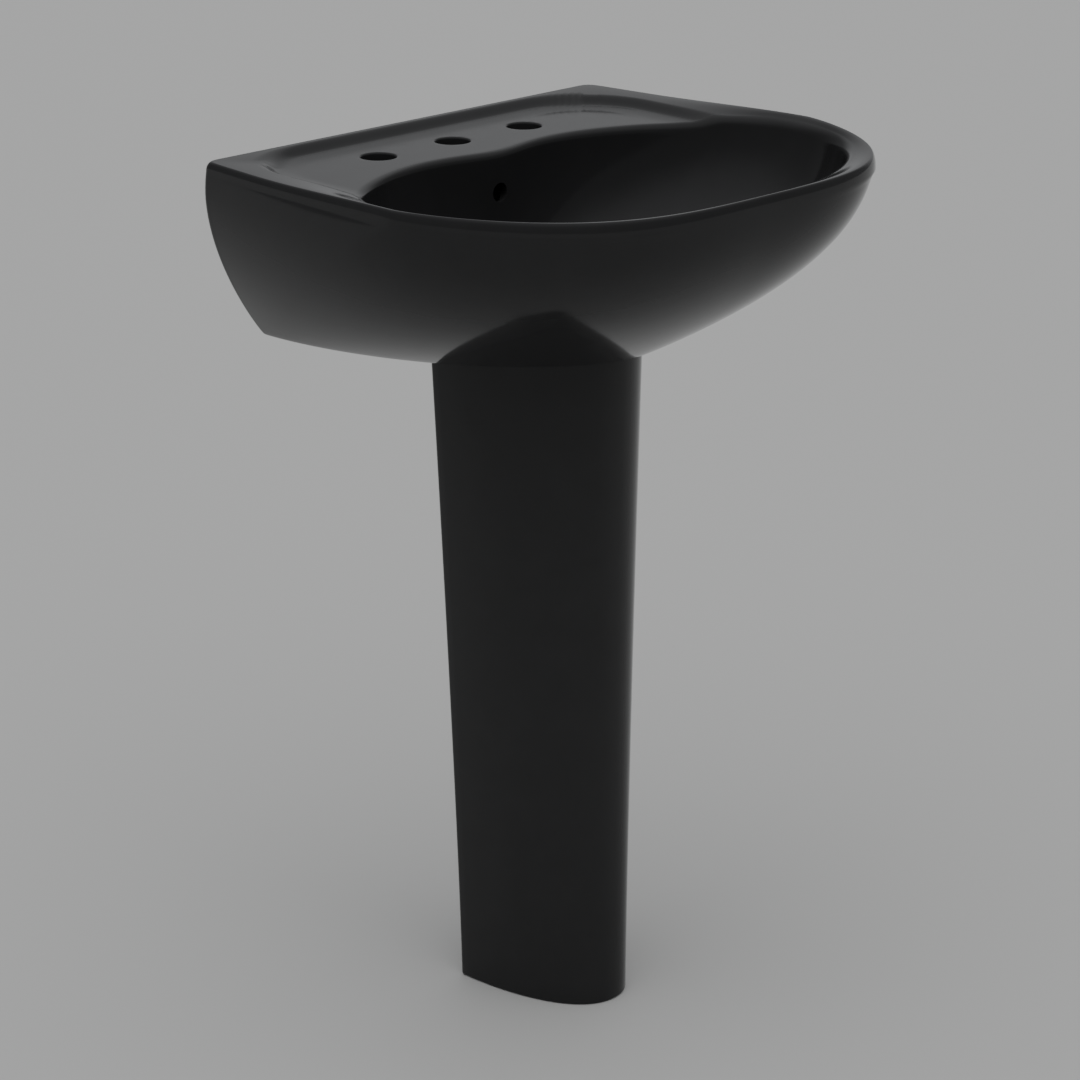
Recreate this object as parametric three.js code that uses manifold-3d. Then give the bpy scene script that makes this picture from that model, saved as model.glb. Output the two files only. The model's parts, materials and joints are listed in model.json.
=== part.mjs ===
// Pedestal bathroom sink: a one-piece china basin on an open-backed china pedestal, with its wall and
// floor fixings, a push-to-close drain and a P-trap. Millimetres, +Z up. The front faces -Y and the wall
// plane lies at +Y. The origin is on the floor, under the middle of the basin's plan.
//
// Inside the sink group, y = 0 is the wall and everything stands at negative y, so each distance from the
// wall is read directly. The group is then moved to put the origin under the middle.
import * as THREE from "three";
import { mergeVertices } from "three/addons/utils/BufferGeometryUtils.js";
import Module from "manifold-3d";

const wasm = await Module();
wasm.setup();

// ---------------------------------------------------------------- driving dimensions
const DEPTH = 501; // basin, wall to front edge
const RIM_HEIGHT = 892; // floor to the top of the rim
const BASIN_HEIGHT = 192; // rim to the basin's lower edge
const BASIN_BOTTOM = RIM_HEIGHT - BASIN_HEIGHT;
const CHINA = 12; // wall thickness of the basin
const FIT = 0.4; // gap left between pieces that touch

const BELLY_DROP = 36; // depth of the basin's widest level
const BELLY_BACK = 270; // its half-width at the wall
const LOWER_BACK = 200; // half-width at the wall of the basin's lower edge
const LOWER_FRONT = 327; // wall to the front of the lower edge
const FLARE = 25; // the rim widens this much from the wall to its widest line
const WIDEST_FROM_WALL = 314;
const RIM_ROUND = 4; // rounding of the rim's outer edge, in plan
const RIM_FALL = 14; // and in height
const CORNER_ROUND = 9; // plan rounding where the sides meet the wall
const BACK_FALL = 4.5; // the rim runs down to the wall by this much

const DECK_DROP = 15; // tap deck below the rim
const LEDGE = 9; // flat top of the raised back ledge, from the wall
const DECK_STEP = 15; // width of the steep step from ledge to deck
const DECK_RUN = 38; // width of the shallow run-out that ends at the flat deck
const DECK_RUN_SHARE = 0.28; // share of the drop that the run-out makes
const DECK_HALF_WIDTH = 252;
const DECK_CORNER = 95;
const HOLE_SPACING = 101.6; // 8 inch widespread tap set: two steps of 4 inches
const HOLE_R = 17.5;
const HOLE_FROM_WALL = 71;

const BOWL_CENTRE = -285; // line of the bowl's greatest width
const BOWL_HALF_WIDTH = 271;
const BOWL_FRONT = -480;
const BOWL_BACK = -117;
const BOWL_BUMP = 23; // the deck pushes this far into the bowl at its middle
const BOWL_BUMP_HALF = 70;
const BOWL_LEAN = 0.12; // share of its size that the bowl loses with depth
const EDGE_DROP = 6; // bowl's edge below the rim, at the sides and front
const SEAT_HEIGHT = RIM_HEIGHT - 143; // bowl's floor round the drain
const SEAT_R = 42;

const DRAIN_Y = -215;
const DRAIN_HOLE_R = 23;
const COLLAR_R = 38; // china round the drain hole
const COLLAR_BOTTOM = BASIN_BOTTOM + 6;
const OVERFLOW_R = 9.5;
const OVERFLOW_HEIGHT = RIM_HEIGHT - 57;
const DRAIN_PORTS = BASIN_BOTTOM + 20; // where the overflow's water enters the drain

const BACK_PLATE = 14;
const BACK_PLATE_BOTTOM = RIM_HEIGHT - 112;
const WALL_BOLT_X = 127; // bolts 10 inches apart
const WALL_BOLT_HEIGHT = RIM_HEIGHT - 66;
const LAND_THICKNESS = 14;
const LAND_BACK = -150;

const PEDESTAL_TOP = BASIN_BOTTOM - FIT;
const PEDESTAL_BACK = -146;
const PEDESTAL_WALL = 11;
const TOP_HALF_WIDTH = 107;
const FOOT_HALF_WIDTH = 70;
const TOP_REACH = 155; // back edge to nose
const FOOT_REACH = 158;
const FOOT_ROUND = 3;
const FOOT_WEB = 14;
const FLOOR_BOLT_X = 32;
const FLOOR_BOLT_Y = -172;

const BOLT_R = 4; // 5/16 inch fixings
const BOLT_HOLE_R = 5.5;
const TUBE_R = 15.9; // 1 1/4 inch waste tube
const TUBE_WALL = 1.5;
const BEND_R = 38;
const BEND_TOP = 502; // where both slip nuts of the bend begin
const ARM_END = -72; // end of the trap arm; the wall's own waste pipe belongs to the building
const STOPPER_LIFT = 9;

// ---------------------------------------------------------------- colours
const finish = (color, roughness, metalness) =>
  new THREE.MeshStandardMaterial({ color, roughness, metalness });
const BLACK_CHINA = finish(0x141416, 0.12, 0);
const CHROME = finish(0xc9ccd0, 0.1, 1);
const BRASS = finish(0xb08d4a, 0.3, 1);
const STEEL = finish(0x9a9da1, 0.35, 1);
const RUBBER = finish(0x1c1c1c, 0.8, 0);
const NYLON = finish(0xe8e6df, 0.5, 0);

// ---------------------------------------------------------------- geometry helpers
const lerp = (a, b, t) => a + (b - a) * t;
const smooth = (t) => {
  const s = Math.min(1, Math.max(0, t));
  return s * s * (3 - 2 * s);
};

// A closed BufferGeometry as a manifold-3d solid that faces outward.
function solid(geometry) {
  const bare = geometry.clone();
  for (const name of Object.keys(bare.attributes)) if (name !== "position") bare.deleteAttribute(name);
  const merged = mergeVertices(bare, 1e-4);
  const vertProperties = merged.attributes.position.array;
  const triVerts = new Uint32Array(merged.index.array);
  const made = new wasm.Manifold(new wasm.Mesh({ numProp: 3, vertProperties, triVerts }));
  if (made.volume() > 0) return made;
  return new wasm.Manifold(new wasm.Mesh({ numProp: 3, vertProperties, triVerts: triVerts.reverse() }));
}

// A manifold-3d solid as a BufferGeometry.
function geometryOf(shape) {
  const { numProp, vertProperties, triVerts } = shape.getMesh();
  const points = new Float32Array((vertProperties.length / numProp) * 3);
  for (let i = 0; i < points.length / 3; i++) {
    points.set(vertProperties.subarray(i * numProp, i * numProp + 3), i * 3);
  }
  const geometry = new THREE.BufferGeometry();
  geometry.setAttribute("position", new THREE.BufferAttribute(points, 3));
  geometry.setIndex(new THREE.BufferAttribute(triVerts, 1));
  return geometry;
}

// A solid through closed rings of equal point count, with a fan at each end.
function loft(rings) {
  const count = rings[0].length;
  const points = rings.flat();
  const faces = [];
  for (let r = 0; r + 1 < rings.length; r++) {
    for (let k = 0; k < count; k++) {
      const [here, next] = [r * count + k, r * count + ((k + 1) % count)];
      faces.push(here, next, next + count, here, next + count, here + count);
    }
  }
  const fan = (ring, start, order) => {
    points.push(ring.reduce((sum, p) => sum.add(p), new THREE.Vector3()).divideScalar(count));
    for (let k = 0; k < count; k++) {
      const edge = [start + k, start + ((k + 1) % count)];
      faces.push(points.length - 1, edge[order], edge[1 - order]);
    }
  };
  fan(rings[0], 0, 1);
  fan(rings.at(-1), (rings.length - 1) * count, 0);
  const geometry = new THREE.BufferGeometry().setFromPoints(points);
  geometry.setIndex(faces);
  return solid(geometry);
}

// A solid of revolution about the vertical, from [radius, height] pairs that start and end on the axis or
// close on themselves.
function turned(profile, segments = 20) {
  const points = profile.map(([r, z]) => new THREE.Vector2(r, z));
  return solid(new THREE.LatheGeometry(points, segments).rotateX(Math.PI / 2));
}

const rod = (radius, low, high, segments = 20) =>
  turned([[0, low], [radius, low], [radius, high], [0, high]], segments);
const washer = (outer, inner, low, high, segments = 20) =>
  turned([[inner, low], [outer, low], [outer, high], [inner, high], [inner, low]], segments);
const hexagon = (acrossFlats, low, high) => rod(acrossFlats / Math.sqrt(3), low, high, 6);
const block = (x0, x1, y0, y1, z0, z1) =>
  solid(
    new THREE.BoxGeometry(x1 - x0, y1 - y0, z1 - z0).translate((x0 + x1) / 2, (y0 + y1) / 2, (z0 + z1) / 2),
  );
const vectors = (plan, z) => plan.map(([x, y]) => new THREE.Vector3(x, y, z));
const prism = (plan, low, high) => loft([vectors(plan, low), vectors(plan, high)]);
// A piece built along +Z, turned to run along -Y: out of the wall.
const outOfWall = (shape) => shape.rotate([90, 0, 0]);

// A round bar along a curve in the sink's middle plane, through stops [y, z].
function bar(stops, radius, steps, sides = 12) {
  const points = stops.map(([y, z]) => new THREE.Vector3(0, y, z));
  const extrudePath = new THREE.CatmullRomCurve3(points, false, "centripetal");
  const section = new THREE.Shape().absarc(0, 0, radius, 0, 2 * Math.PI);
  return solid(new THREE.ExtrudeGeometry(section, { steps, curveSegments: sides / 2, extrudePath }));
}

// A bent tube, open at both ends: its bore runs on past the first and last stops.
function bentTube(stops, outer, inner, steps) {
  const past = ([y0, z0], [y1, z1]) => [2 * y1 - y0, 2 * z1 - z0];
  const bore = [past(stops[1], stops[0]), ...stops, past(stops.at(-2), stops.at(-1))];
  return bar(stops, outer, steps).subtract(bar(bore, inner, steps + 2));
}

// ---------------------------------------------------------------- basin outlines
const BACK_STEPS = 5;
const CORNER_STEPS = 2;
const SIDE_STEPS = 6;
const FRONT_STEPS = 13;

// The basin's plan at a depth below the rim: a side that flares from the wall to its widest line, then a
// rounded front of two powers.
function bodyShape(depth) {
  const t = depth / BASIN_HEIGHT;
  const above = Math.max(0, BELLY_DROP - depth) / BELLY_DROP;
  const below = Math.max(0, depth - BELLY_DROP) / (BASIN_HEIGHT - BELLY_DROP);
  const nose = Math.max(0, depth - RIM_FALL) / (BASIN_HEIGHT - RIM_FALL);
  const back = lerp(BELLY_BACK, LOWER_BACK, below ** 1.73) - 5 * above ** 2;
  return {
    back,
    wide: back + FLARE * (1 - t ** 2),
    widest: lerp(WIDEST_FROM_WALL, 16, t),
    front: lerp(DEPTH, LOWER_FRONT, nose ** 2),
    sidePower: lerp(3.51, 1.82, nose ** 0.6),
    frontPower: lerp(1.35, 1.82, nose) + (1.4 + 3 * nose) * nose * (1 - nose),
  };
}

// A closed outline at a depth as [x, y] pairs, from the middle of its back line round by +X. Inset draws it
// inward, backLine is the y of its back line, and corner rounds the ends of that line.
function outline(depth, inset = 0, backLine = 0, corner = CORNER_ROUND) {
  const { back, wide, widest, front, sidePower, frontPower } = bodyShape(depth);
  const side = (from) => wide - inset - (wide - back) * Math.max(0, 1 - from / widest) ** 1.43;
  const flat = side(corner) - corner;
  const half = [];
  for (let k = 0; k < BACK_STEPS; k++) half.push([(flat * k) / BACK_STEPS, backLine]);
  for (let k = 0; k < CORNER_STEPS; k++) {
    const turn = (Math.PI / 2) * (1 - k / CORNER_STEPS);
    half.push([flat + corner * Math.cos(turn), backLine - corner + corner * Math.sin(turn)]);
  }
  const start = corner - backLine;
  for (let k = 0; k < SIDE_STEPS; k++) {
    const from = lerp(start, widest, k / SIDE_STEPS);
    half.push([side(from), -from]);
  }
  for (let k = 0; k <= FRONT_STEPS; k++) {
    const turn = (Math.PI / 2) * (1 - (1 - k / FRONT_STEPS) ** 1.8);
    const x = (wide - inset) * Math.max(0, Math.cos(turn)) ** (2 / sidePower);
    half.push([x, -widest - (front - inset - widest) * Math.sin(turn) ** (2 / frontPower)]);
  }
  const mirrored = half.slice(1, -1).reverse().map(([x, y]) => [-x, y]);
  half.at(-1)[0] = 0;
  return [...half, ...mirrored];
}

// The rim's top runs slightly down toward the wall.
const rimTop = (y) => RIM_HEIGHT - BACK_FALL * smooth((y + 300) / 220);
const CREST = outline(RIM_FALL, RIM_ROUND, -RIM_ROUND, CORNER_ROUND + 5);
const DIRECTIONS = CREST.map(([x, y]) => Math.atan2(y - BOWL_CENTRE, x));

// ---------------------------------------------------------------- bowl and deck
// The bowl's opening, as its distance from the bowl's centre in a direction. The deck's bulge into it fades
// from 1 at the edge to 0 at the drain.
function bowlReach(angle, bulge = 1) {
  const [c, s] = [Math.cos(angle), Math.sin(angle)];
  const length = s > 0 ? BOWL_BACK - BOWL_CENTRE : BOWL_CENTRE - BOWL_FRONT;
  const power = s > 0 ? 2.2 : 2.1;
  const reach = (Math.abs(c / BOWL_HALF_WIDTH) ** power + Math.abs(s / length) ** power) ** (-1 / power);
  const bump = s > 0 ? BOWL_BUMP * Math.exp(-(((reach * c) / BOWL_BUMP_HALF) ** 2)) : 0;
  return reach - bulge * bump;
}
const aroundBowl = (angle, reach, centre = BOWL_CENTRE) => [
  reach * Math.cos(angle),
  centre + reach * Math.sin(angle),
];

// How far the top has sunk from the rim to the recessed deck, from 0 to 1: a rounded rectangle with a short
// steep step and a long shallow one, that fades out toward the front.
function deckShare(x, y) {
  const across = Math.abs(x) - (DECK_HALF_WIDTH - DECK_CORNER);
  const along = y + LEDGE + DECK_CORNER;
  const outside = Math.hypot(Math.max(across, 0), Math.max(along, 0)) + Math.min(Math.max(across, along), 0);
  const inside = DECK_CORNER - outside;
  const steep = (1 - DECK_RUN_SHARE) * smooth(inside / DECK_STEP);
  const shallow = DECK_RUN_SHARE * smooth(inside / DECK_RUN);
  return (steep + shallow) * smooth((y + 290) / 110);
}

// Rings of the top face from the rim's crest to the bowl's edge. Wide parts gather their rings at the ledge.
function topRings() {
  return [0, 0.31, 0.4, 0.47, 0.56, 0.66, 1].map((step) =>
    CREST.map(([x0, y0], k) => {
      const [x1, y1] = aroundBowl(DIRECTIONS[k], bowlReach(DIRECTIONS[k]));
      const share = step ** (1 + Math.hypot(x1 - x0, y1 - y0) / 80);
      const [x, y] = [lerp(x0, x1, share), lerp(y0, y1, share)];
      const top = rimTop(y) - EDGE_DROP * smooth(share);
      return new THREE.Vector3(x, y, lerp(top, RIM_HEIGHT - DECK_DROP, deckShare(x, y)));
    }),
  );
}

// Rings of the bowl from its edge to the drain seat. Grow moves them outward, to the china's other face.
function bowlRings(edge, steps, grow = 0) {
  return Array.from({ length: steps + 1 }, (_, j) => {
    const fall = Math.sin((Math.PI / 2) * (j / steps));
    const size = (1 - fall ** 2.6) ** 0.5 * (1 - BOWL_LEAN * fall);
    const centre = lerp(DRAIN_Y, BOWL_CENTRE, size);
    return DIRECTIONS.map((angle, k) => {
      const reach = lerp(SEAT_R, bowlReach(angle, 1 - fall ** 2), size) + grow;
      const z = lerp(edge[k].z, SEAT_HEIGHT, fall) - grow;
      return new THREE.Vector3(...aroundBowl(angle, reach, centre), z);
    });
  });
}

const TOP = topRings();
const BOWL_EDGE = TOP.at(-1);

// ---------------------------------------------------------------- basin
const drainColumn = (radius, low, high) => rod(radius, low, high, 24).translate([0, DRAIN_Y, 0]);

// The outer body with its bowl, solid underneath.
function basinBody() {
  const bowl = bowlRings(BOWL_EDGE, 10).slice(1).reverse();
  const rounding = [65, 38, 14].map((degrees) => {
    const turn = THREE.MathUtils.degToRad(degrees);
    const inset = RIM_ROUND * (1 - Math.cos(turn));
    const plan = outline(RIM_FALL, inset, -inset, CORNER_ROUND + inset);
    const rise = Math.sin(turn);
    return plan.map(([x, y]) => new THREE.Vector3(x, y, lerp(RIM_HEIGHT - RIM_FALL, rimTop(y), rise)));
  });
  const depths = [RIM_FALL, 36, 62, 88, 112, 133, 152, 168, 182, BASIN_HEIGHT];
  const sides = depths.map((depth) => vectors(outline(depth), RIM_HEIGHT - depth));
  return loft([...bowl, ...[...TOP].reverse(), ...rounding, ...sides]);
}

// The plate that lands on the pedestal.
const landPlate = () =>
  prism(outline(BASIN_HEIGHT, 2), BASIN_BOTTOM - 6, BASIN_BOTTOM + LAND_THICKNESS).subtract(
    block(-300, 300, LAND_BACK, 20, BASIN_BOTTOM - 20, RIM_HEIGHT),
  );

// The space under the deck and round the bowl, open below and through the back under the back plate.
function basinHollow() {
  const inner = (depth, z) => vectors(outline(depth, CHINA, 5, 2), z);
  const space = loft([
    ...[DECK_DROP + CHINA, 60, 95, 130, 165, BASIN_HEIGHT].map((depth) => inner(depth, RIM_HEIGHT - depth)),
    inner(BASIN_HEIGHT, BASIN_BOTTOM - 5),
  ]);
  const above = BOWL_EDGE.map(() => new THREE.Vector3(0, 0, RIM_HEIGHT + 60));
  const china = bowlRings(above, 7, CHINA);
  const kept = [
    loft(china),
    landPlate(),
    drainColumn(COLLAR_R, COLLAR_BOTTOM, SEAT_HEIGHT),
    block(-300, 300, -BACK_PLATE, 10, BACK_PLATE_BOTTOM, RIM_HEIGHT),
    overflowBar(OVERFLOW_R + 7, OVERFLOW_HEIGHT + 18),
  ];
  const pieces = kept.reduce((hollow, shape) => hollow.subtract(shape), space).decompose();
  return pieces.sort((a, b) => b.volume() - a.volume())[0];
}

// The opening in the land, inside the pedestal's walls, that the waste passes through.
function landOpening() {
  const plan = pedestalPlan(TOP_HALF_WIDTH - PEDESTAL_WALL - 4, TOP_REACH - PEDESTAL_WALL - 10, LAND_BACK);
  const wide = [...plan, [plan.at(-1)[0], LAND_BACK + 20], [plan[0][0], LAND_BACK + 20]];
  return prism(wide, BASIN_BOTTOM - 5, BASIN_BOTTOM + LAND_THICKNESS + 10).subtract(
    drainColumn(COLLAR_R, COLLAR_BOTTOM, SEAT_HEIGHT),
  );
}

// The overflow's way down behind the bowl to the drain, from a top height.
function overflowBar(radius, top) {
  const stops = [[-126, top], [-126, 817], [-129, 782], [-146, 747], [-172, 726], [DRAIN_Y, DRAIN_PORTS]];
  return bar(stops, radius, 8);
}

function basin() {
  const tapHoles = [-1, 0, 1].map((k) =>
    rod(HOLE_R, RIM_HEIGHT - 60, RIM_HEIGHT + 5, 24).translate([k * HOLE_SPACING, -HOLE_FROM_WALL, 0]),
  );
  const boltHoles = [-1, 1].map((side) =>
    outOfWall(rod(BOLT_HOLE_R, -5, BACK_PLATE + 5, 20)).translate([side * WALL_BOLT_X, 0, WALL_BOLT_HEIGHT]),
  );
  const cuts = [
    basinHollow(),
    landOpening(),
    ...tapHoles,
    ...boltHoles,
    outOfWall(rod(OVERFLOW_R, 122, 165)).translate([0, 0, OVERFLOW_HEIGHT]),
    overflowBar(OVERFLOW_R, OVERFLOW_HEIGHT + 11),
    drainColumn(DRAIN_HOLE_R, BASIN_BOTTOM - 5, RIM_HEIGHT),
  ];
  return cuts.reduce((body, cut) => body.subtract(cut), basinBody());
}

// ---------------------------------------------------------------- pedestal
// The pedestal's plan, a rounded U with an open back line, as [x, y] pairs from +X round the nose.
function pedestalPlan(half, reach, back = PEDESTAL_BACK) {
  return Array.from({ length: 29 }, (_, k) => {
    const turn = (Math.PI * k) / 28;
    const [c, s] = [Math.cos(turn), Math.sin(turn)];
    return [half * Math.sign(c) * Math.abs(c) ** 0.9, back - reach * s ** 0.9];
  });
}

// The pedestal's outer or inner body between two heights, with its back closed at backLine.
function pedestalBody(inset, backLine, low, high, edgeRound) {
  const levels = [0, 0.0012, 0.004, 0.25, 0.5, 0.75, 1];
  return loft(
    levels.map((level) => {
      const trim = inset + edgeRound * Math.max(0, 1 - level / 0.004) ** 2;
      const half = lerp(FOOT_HALF_WIDTH, TOP_HALF_WIDTH, level ** 1.2) - trim;
      const plan = pedestalPlan(half, lerp(FOOT_REACH, TOP_REACH, level) - trim);
      return vectors([...plan, [-half, backLine], [half, backLine]], lerp(low, high, level));
    }),
  );
}

function pedestal() {
  const outer = pedestalBody(0, PEDESTAL_BACK + 0.5, 0, PEDESTAL_TOP, FOOT_ROUND);
  const inner = pedestalBody(PEDESTAL_WALL, PEDESTAL_BACK + 10, -2, PEDESTAL_TOP + 2, 0);
  const web = block(-200, 200, FLOOR_BOLT_Y - 24, FLOOR_BOLT_Y + 20, -5, FOOT_WEB);
  const holes = [-1, 1].map((side) =>
    rod(BOLT_HOLE_R, -5, FOOT_WEB + 5, 20).translate([side * FLOOR_BOLT_X, FLOOR_BOLT_Y, 0]),
  );
  return holes.reduce((body, hole) => body.subtract(hole), outer.subtract(inner.subtract(web)));
}

// ---------------------------------------------------------------- drain
const FLANGE_R = 31;
const FLANGE_TOP = SEAT_HEIGHT + 3.4;
const BODY_R = 20;
const BODY_BORE = 17.6;
const BODY_BOTTOM = BASIN_BOTTOM - 48;
const LOCKNUT_TOP = COLLAR_BOTTOM - 8.2;
const STEM_R = 4;

const flangeSeal = () => washer(28, BODY_R + FIT, SEAT_HEIGHT + 0.1, SEAT_HEIGHT + 1.2);

// The flange's lip with the body's top socket hanging below it.
const drainFlange = () =>
  turned([
    [BODY_BORE, SEAT_HEIGHT - 8],
    [BODY_R, SEAT_HEIGHT - 8],
    [BODY_R, SEAT_HEIGHT + 1.4],
    [FLANGE_R, SEAT_HEIGHT + 1.4],
    [FLANGE_R, SEAT_HEIGHT + 2.2],
    [FLANGE_R - 3, FLANGE_TOP],
    [24, FLANGE_TOP - 0.6],
    [BODY_BORE + 1.2, SEAT_HEIGHT + 2.1],
    [BODY_BORE, SEAT_HEIGHT + 0.9],
    [BODY_BORE, SEAT_HEIGHT - 8],
  ], 28);

// The threaded body, with two overflow ports and a bridge that guides the stopper's stem.
function drainBody() {
  const top = SEAT_HEIGHT - 8.3;
  const tube = washer(BODY_R, BODY_BORE, BODY_BOTTOM, top, 24);
  const ports = outOfWall(rod(5.5, -40, 40, 16)).translate([0, 0, DRAIN_PORTS]);
  const bridge = block(-BODY_BORE - 1, BODY_BORE + 1, -2, 2, BASIN_BOTTOM + 1, BASIN_BOTTOM + 7);
  const guide = rod(8, BASIN_BOTTOM, BASIN_BOTTOM + 9)
    .add(bridge)
    .subtract(rod(STEM_R + 0.1, BASIN_BOTTOM - 10, BASIN_BOTTOM + 20));
  return tube.subtract(ports).add(guide);
}

const stopperCap = () =>
  turned([
    [0, FLANGE_TOP + STOPPER_LIFT - 2],
    [15, FLANGE_TOP + STOPPER_LIFT - 2],
    [24, FLANGE_TOP + STOPPER_LIFT + 0.3],
    [25, FLANGE_TOP + STOPPER_LIFT + 1.4],
    [22, FLANGE_TOP + STOPPER_LIFT + 4],
    [12, FLANGE_TOP + STOPPER_LIFT + 6],
    [0, FLANGE_TOP + STOPPER_LIFT + 6.6],
  ], 28);

const stopperStem = () =>
  turned([
    [0, BASIN_BOTTOM - 12],
    [STEM_R, BASIN_BOTTOM - 12],
    [STEM_R, SEAT_HEIGHT - 7],
    [7, SEAT_HEIGHT - 5],
    [7, FLANGE_TOP + STOPPER_LIFT - 2.05],
    [0, FLANGE_TOP + STOPPER_LIFT - 2.05],
  ], 24);

const drainGasket = () =>
  turned([
    [BODY_R + FIT, LOCKNUT_TOP + 2.4],
    [31, LOCKNUT_TOP + 2.4],
    [27, COLLAR_BOTTOM - 0.2],
    [BODY_R + FIT, COLLAR_BOTTOM - 0.2],
    [BODY_R + FIT, LOCKNUT_TOP + 2.4],
  ], 24);
const frictionWasher = () => washer(31, BODY_R + FIT, LOCKNUT_TOP + 0.3, LOCKNUT_TOP + 2.1, 24);
const drainLocknut = () =>
  hexagon(54, LOCKNUT_TOP - 10, LOCKNUT_TOP).subtract(rod(BODY_R + FIT, 600, 760, 24));

// ---------------------------------------------------------------- waste
const TAIL_TOP = BODY_BOTTOM + 14;
const BEND_BACK = DRAIN_Y + 2 * BEND_R;

// The tailpiece slides into the body's foot and runs down into the bend's cup.
const tailpiece = () => washer(TUBE_R, TUBE_R - TUBE_WALL, BEND_TOP - 14, TAIL_TOP, 24);

// A slip joint: a knurled nut over the cup of the piece below it, and the washer that it squeezes.
const slipNut = () =>
  rod(24, BEND_TOP - 10, BEND_TOP + 10, 12)
    .subtract(rod(21 + FIT, BEND_TOP - 12, BEND_TOP + 6, 24))
    .subtract(rod(TUBE_R + FIT, BEND_TOP, BEND_TOP + 12, 24));
const slipWasher = () => washer(21, TUBE_R + 0.2, BEND_TOP + 0.3, BEND_TOP + 5, 24);

// The bend: two cups joined by a half turn.
function trapBend() {
  const cup = washer(21, TUBE_R + FIT, BEND_TOP - 20, BEND_TOP, 24);
  const turn = Array.from({ length: 13 }, (_, k) => {
    const angle = (Math.PI * k) / 12;
    return [DRAIN_Y + BEND_R * (1 - Math.cos(angle)), BEND_TOP - 24 - BEND_R * Math.sin(angle)];
  });
  const stops = [[DRAIN_Y, BEND_TOP - 20], ...turn, [BEND_BACK, BEND_TOP - 20]];
  const neck = washer(21, TUBE_R - TUBE_WALL, BEND_TOP - 23, BEND_TOP - 19.5, 24);
  const ends = [DRAIN_Y, BEND_BACK].flatMap((y) => [cup.translate([0, y, 0]), neck.translate([0, y, 0])]);
  const tube = bentTube(stops, TUBE_R + TUBE_WALL, TUBE_R - TUBE_WALL, 12);
  return ends.reduce((joined, end) => joined.add(end), tube);
}

// The arm rises from the bend and turns toward the wall.
function trapArm() {
  const elbow = Array.from({ length: 9 }, (_, k) => {
    const angle = (Math.PI / 2) * (k / 8);
    return [BEND_BACK + BEND_R * (1 - Math.cos(angle)), BEND_TOP + 14 + BEND_R * Math.sin(angle)];
  });
  const stops = [[BEND_BACK, BEND_TOP - 14], [BEND_BACK, BEND_TOP], ...elbow, [ARM_END, elbow.at(-1)[1]]];
  return bentTube(stops, TUBE_R, TUBE_R - TUBE_WALL, 14);
}

// ---------------------------------------------------------------- fixings, built along +Z from their seat
const hangerBolt = () => rod(BOLT_R, FIT, 44, 16);
const wallBush = () => washer(11, BOLT_R + 0.2, BACK_PLATE + 0.2, BACK_PLATE + 2.6);
const wallWasher = () => washer(13, BOLT_R + 0.2, BACK_PLATE + 2.9, BACK_PLATE + 4.7);
const wallNut = () => hexagon(13, BACK_PLATE + 5, BACK_PLATE + 12).subtract(rod(BOLT_R + 0.2, 0, 60, 16));
const floorWasher = () => washer(11, BOLT_R + 0.2, FOOT_WEB + 0.2, FOOT_WEB + 1.8);
const floorScrew = () => rod(BOLT_R, 0.2, FOOT_WEB + 3, 16).add(hexagon(13, FOOT_WEB + 2.1, FOOT_WEB + 7.5));

// ---------------------------------------------------------------- assembly
const sink = new THREE.Group();
sink.position.y = DEPTH / 2;

function addPiece(name, shape, material, [x, y, z] = [0, 0, 0]) {
  const mesh = new THREE.Mesh(geometryOf(shape), material);
  mesh.name = name;
  mesh.position.set(x, y, z);
  sink.add(mesh);
}

const DRAIN = [0, DRAIN_Y, 0];
const BEND_OUT = [0, BEND_BACK, 0];

addPiece("basin", basin(), BLACK_CHINA);
addPiece("pedestal", pedestal(), BLACK_CHINA);
addPiece("drain_flange", drainFlange(), CHROME, DRAIN);
addPiece("flange_seal", flangeSeal(), RUBBER, DRAIN);
addPiece("drain_body", drainBody(), BRASS, DRAIN);
addPiece("stopper_cap", stopperCap(), CHROME, DRAIN);
addPiece("stopper_stem", stopperStem(), BRASS, DRAIN);
addPiece("drain_gasket", drainGasket(), RUBBER, DRAIN);
addPiece("friction_washer", frictionWasher(), NYLON, DRAIN);
addPiece("drain_locknut", drainLocknut(), BRASS, DRAIN);
addPiece("tailpiece", tailpiece(), CHROME, DRAIN);
addPiece("trap_inlet_nut", slipNut(), CHROME, DRAIN);
addPiece("trap_inlet_washer", slipWasher(), NYLON, DRAIN);
addPiece("trap_bend", trapBend(), CHROME);
addPiece("trap_outlet_nut", slipNut(), CHROME, BEND_OUT);
addPiece("trap_outlet_washer", slipWasher(), NYLON, BEND_OUT);
addPiece("trap_arm", trapArm(), CHROME);

for (const [name, side] of [["left", -1], ["right", 1]]) {
  const atWall = [side * WALL_BOLT_X, 0, WALL_BOLT_HEIGHT];
  addPiece(`wall_bolt_${name}`, outOfWall(hangerBolt()), STEEL, atWall);
  addPiece(`wall_bush_${name}`, outOfWall(wallBush()), RUBBER, atWall);
  addPiece(`wall_washer_${name}`, outOfWall(wallWasher()), STEEL, atWall);
  addPiece(`wall_nut_${name}`, outOfWall(wallNut()), STEEL, atWall);
  const atFloor = [side * FLOOR_BOLT_X, FLOOR_BOLT_Y, 0];
  addPiece(`floor_washer_${name}`, floorWasher(), STEEL, atFloor);
  addPiece(`floor_screw_${name}`, floorScrew(), STEEL, atFloor);
}

export default sink;
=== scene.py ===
"""The looks of a black china pedestal sink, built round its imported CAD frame.

The basin and the pedestal are rebuilt as fine surfaces from the same outlines as the CAD, with the soft
edges of glazed china. The flange, the stopper, the tubes and their nuts are turned again with fine
profiles. The other pieces keep their CAD shapes. Lengths are millimetres, with y = 0 at the wall, until
place() puts them in metres in the frame.
"""
import json
import math

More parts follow.
